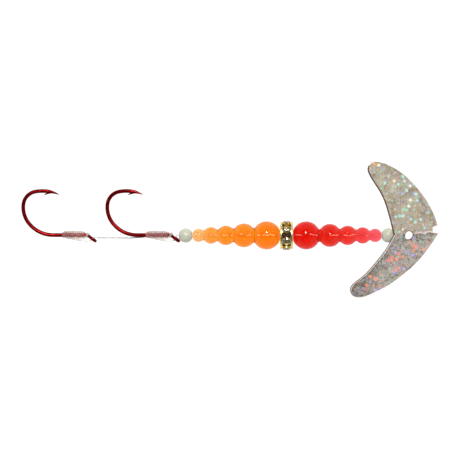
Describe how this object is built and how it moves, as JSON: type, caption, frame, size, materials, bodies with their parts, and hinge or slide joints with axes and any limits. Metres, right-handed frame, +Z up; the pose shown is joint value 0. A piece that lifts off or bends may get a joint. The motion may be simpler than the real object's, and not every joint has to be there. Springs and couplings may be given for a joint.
{
  "type": "inline spinner",
  "caption": "Fishing spinner: a folded sparkle blade turns on a line ahead of tapered beads and a stone-set spacer ring, with snelled hooks trailing behind.",
  "frame": {"origin": "bottom centre of the bounding box, on the surface that the spinner lies on", "axes": "+X forward along the line towards the blade, +Y to the side the hook points turn to, +Z up"},
  "size_m": [0.117, 0.0382, 0.0108],
  "materials": {
    "hook_lacquer": "deep red see-through lacquer on bright steel wire, high gloss",
    "clear_line": "clear monofilament, glossy",
    "glow_plastic": "milky pale green-grey, smooth, slightly translucent",
    "orange_clear": "translucent orange moulded plastic, high gloss",
    "red_clear": "translucent red moulded plastic, paler at the small end, high gloss",
    "gold": "pale gold plating, polished, dark in the recesses",
    "crystal": "clear faceted stone with a silvered back",
    "sparkle_film": "silvery film with small coloured sparkle dots, glossy"
  },
  "bodies": {
    "leader": {"leader_line": "clear_line"},
    "rear_glow_bead": {"glow_bead_rear": "glow_plastic"},
    "orange_body": {"tapered_body_orange": "orange_clear"},
    "spacer_ring": {"ring_plate_rear": "gold", "ring_setting": "gold", "ring_crystals": "crystal", "ring_plate_front": "gold"},
    "red_body": {"tapered_body_red": "red_clear"},
    "front_glow_bead": {"glow_bead_front": "glow_plastic"},
    "spinner_blade": {"blade": "sparkle_film"},
    "front_hook": {"hook_front": "hook_lacquer", "snell_front": "clear_line"},
    "hook_link": {"link_line": "clear_line"},
    "rear_hook": {"hook_rear": "hook_lacquer", "snell_rear": "clear_line"}
  },
  "joints": [
    {"name": "rear_bead_spin", "type": "hinge", "parent": "leader", "child": "rear_glow_bead", "pos_m": [-0.01241, -0.00166, 0.00437], "axis": [1, 0, 0], "continuous": true},
    {"name": "orange_body_spin", "type": "hinge", "parent": "leader", "child": "orange_body", "pos_m": [0.01026, -0.00166, 0.00437], "axis": [1, 0, 0], "continuous": true},
    {"name": "spacer_ring_spin", "type": "hinge", "parent": "leader", "child": "spacer_ring", "pos_m": [0.01583, -0.00166, 0.00437], "axis": [1, 0, 0], "continuous": true},
    {"name": "red_body_spin", "type": "hinge", "parent": "leader", "child": "red_body", "pos_m": [0.02134, -0.00166, 0.00437], "axis": [1, 0, 0], "continuous": true},
    {"name": "front_bead_spin", "type": "hinge", "parent": "leader", "child": "front_glow_bead", "pos_m": [0.04433, -0.00166, 0.00437], "axis": [1, 0, 0], "continuous": true},
    {"name": "blade_spin", "type": "hinge", "parent": "leader", "child": "spinner_blade", "pos_m": [0.04992, -0.00166, 0.00437], "axis": [1, 0, 0], "continuous": true},
    {"name": "front_hook_swing", "type": "hinge", "parent": "leader", "child": "front_hook", "pos_m": [-0.0145, -0.00166, 0.00437], "axis": [0, 0, 1], "range_deg": [-75, 5]},
    {"name": "link_line_swing", "type": "hinge", "parent": "front_hook", "child": "hook_link", "pos_m": [-0.02417, -0.00214, 0.00119], "axis": [0, 0, 1], "range_deg": [0, 60]},
    {"name": "rear_hook_swing", "type": "hinge", "parent": "hook_link", "child": "rear_hook", "pos_m": [-0.03688, -0.0023, 0.00147], "axis": [0, 0, 1], "range_deg": [-60, 80]}
  ]
}
